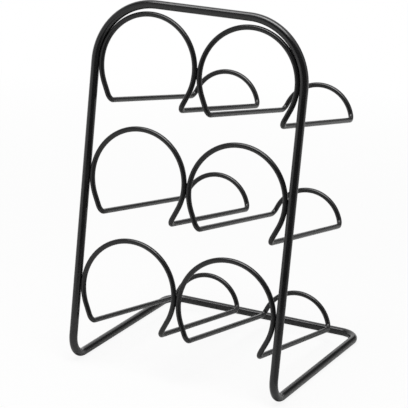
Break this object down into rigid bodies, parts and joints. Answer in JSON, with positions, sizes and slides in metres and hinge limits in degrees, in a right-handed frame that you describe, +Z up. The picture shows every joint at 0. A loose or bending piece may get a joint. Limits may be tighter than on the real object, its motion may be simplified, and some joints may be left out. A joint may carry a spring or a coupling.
{
  "type": "wine rack",
  "caption": "Free-standing wine rack of bent black-coated steel wire: a leaning arched frame on a base loop carries wire holders, each a ring, two runners and a rear arc.",
  "frame": {"origin": "on the floor, under the middle of the rack's overall box", "axes": "+X to the right as seen from the front, +Y to the back, +Z up; bottles lie along Y, necks to -Y"},
  "size_m": [0.2246, 0.22, 0.3553],
  "materials": {
    "frame_coating": "satin black powder coat on steel rod",
    "holder_coating": "satin black powder coat on steel wire",
    "weld_coating": "satin black powder coat over weld metal"
  },
  "bodies": {
    "root": {"main_frame": "frame_coating", "frame_butt_weld": "weld_coating", "holder_bottom_left": "holder_coating", "holder_bottom_right": "holder_coating", "holder_middle_left": "holder_coating", "holder_middle_right": "holder_coating", "holder_top_left": "holder_coating", "holder_top_right": "holder_coating", "butt_weld_bottom_left": "weld_coating", "butt_weld_bottom_right": "weld_coating", "butt_weld_middle_left": "weld_coating", "butt_weld_middle_right": "weld_coating", "butt_weld_top_left": "weld_coating", "butt_weld_top_right": "weld_coating", "side_weld_bottom_left": "weld_coating", "side_weld_bottom_right": "weld_coating", "side_weld_middle_left": "weld_coating", "side_weld_middle_right": "weld_coating", "side_weld_top_left": "weld_coating", "side_weld_top_right": "weld_coating", "centre_weld_bottom": "weld_coating", "centre_weld_middle": "weld_coating", "centre_weld_top": "weld_coating"}
  },
  "joints": []
}
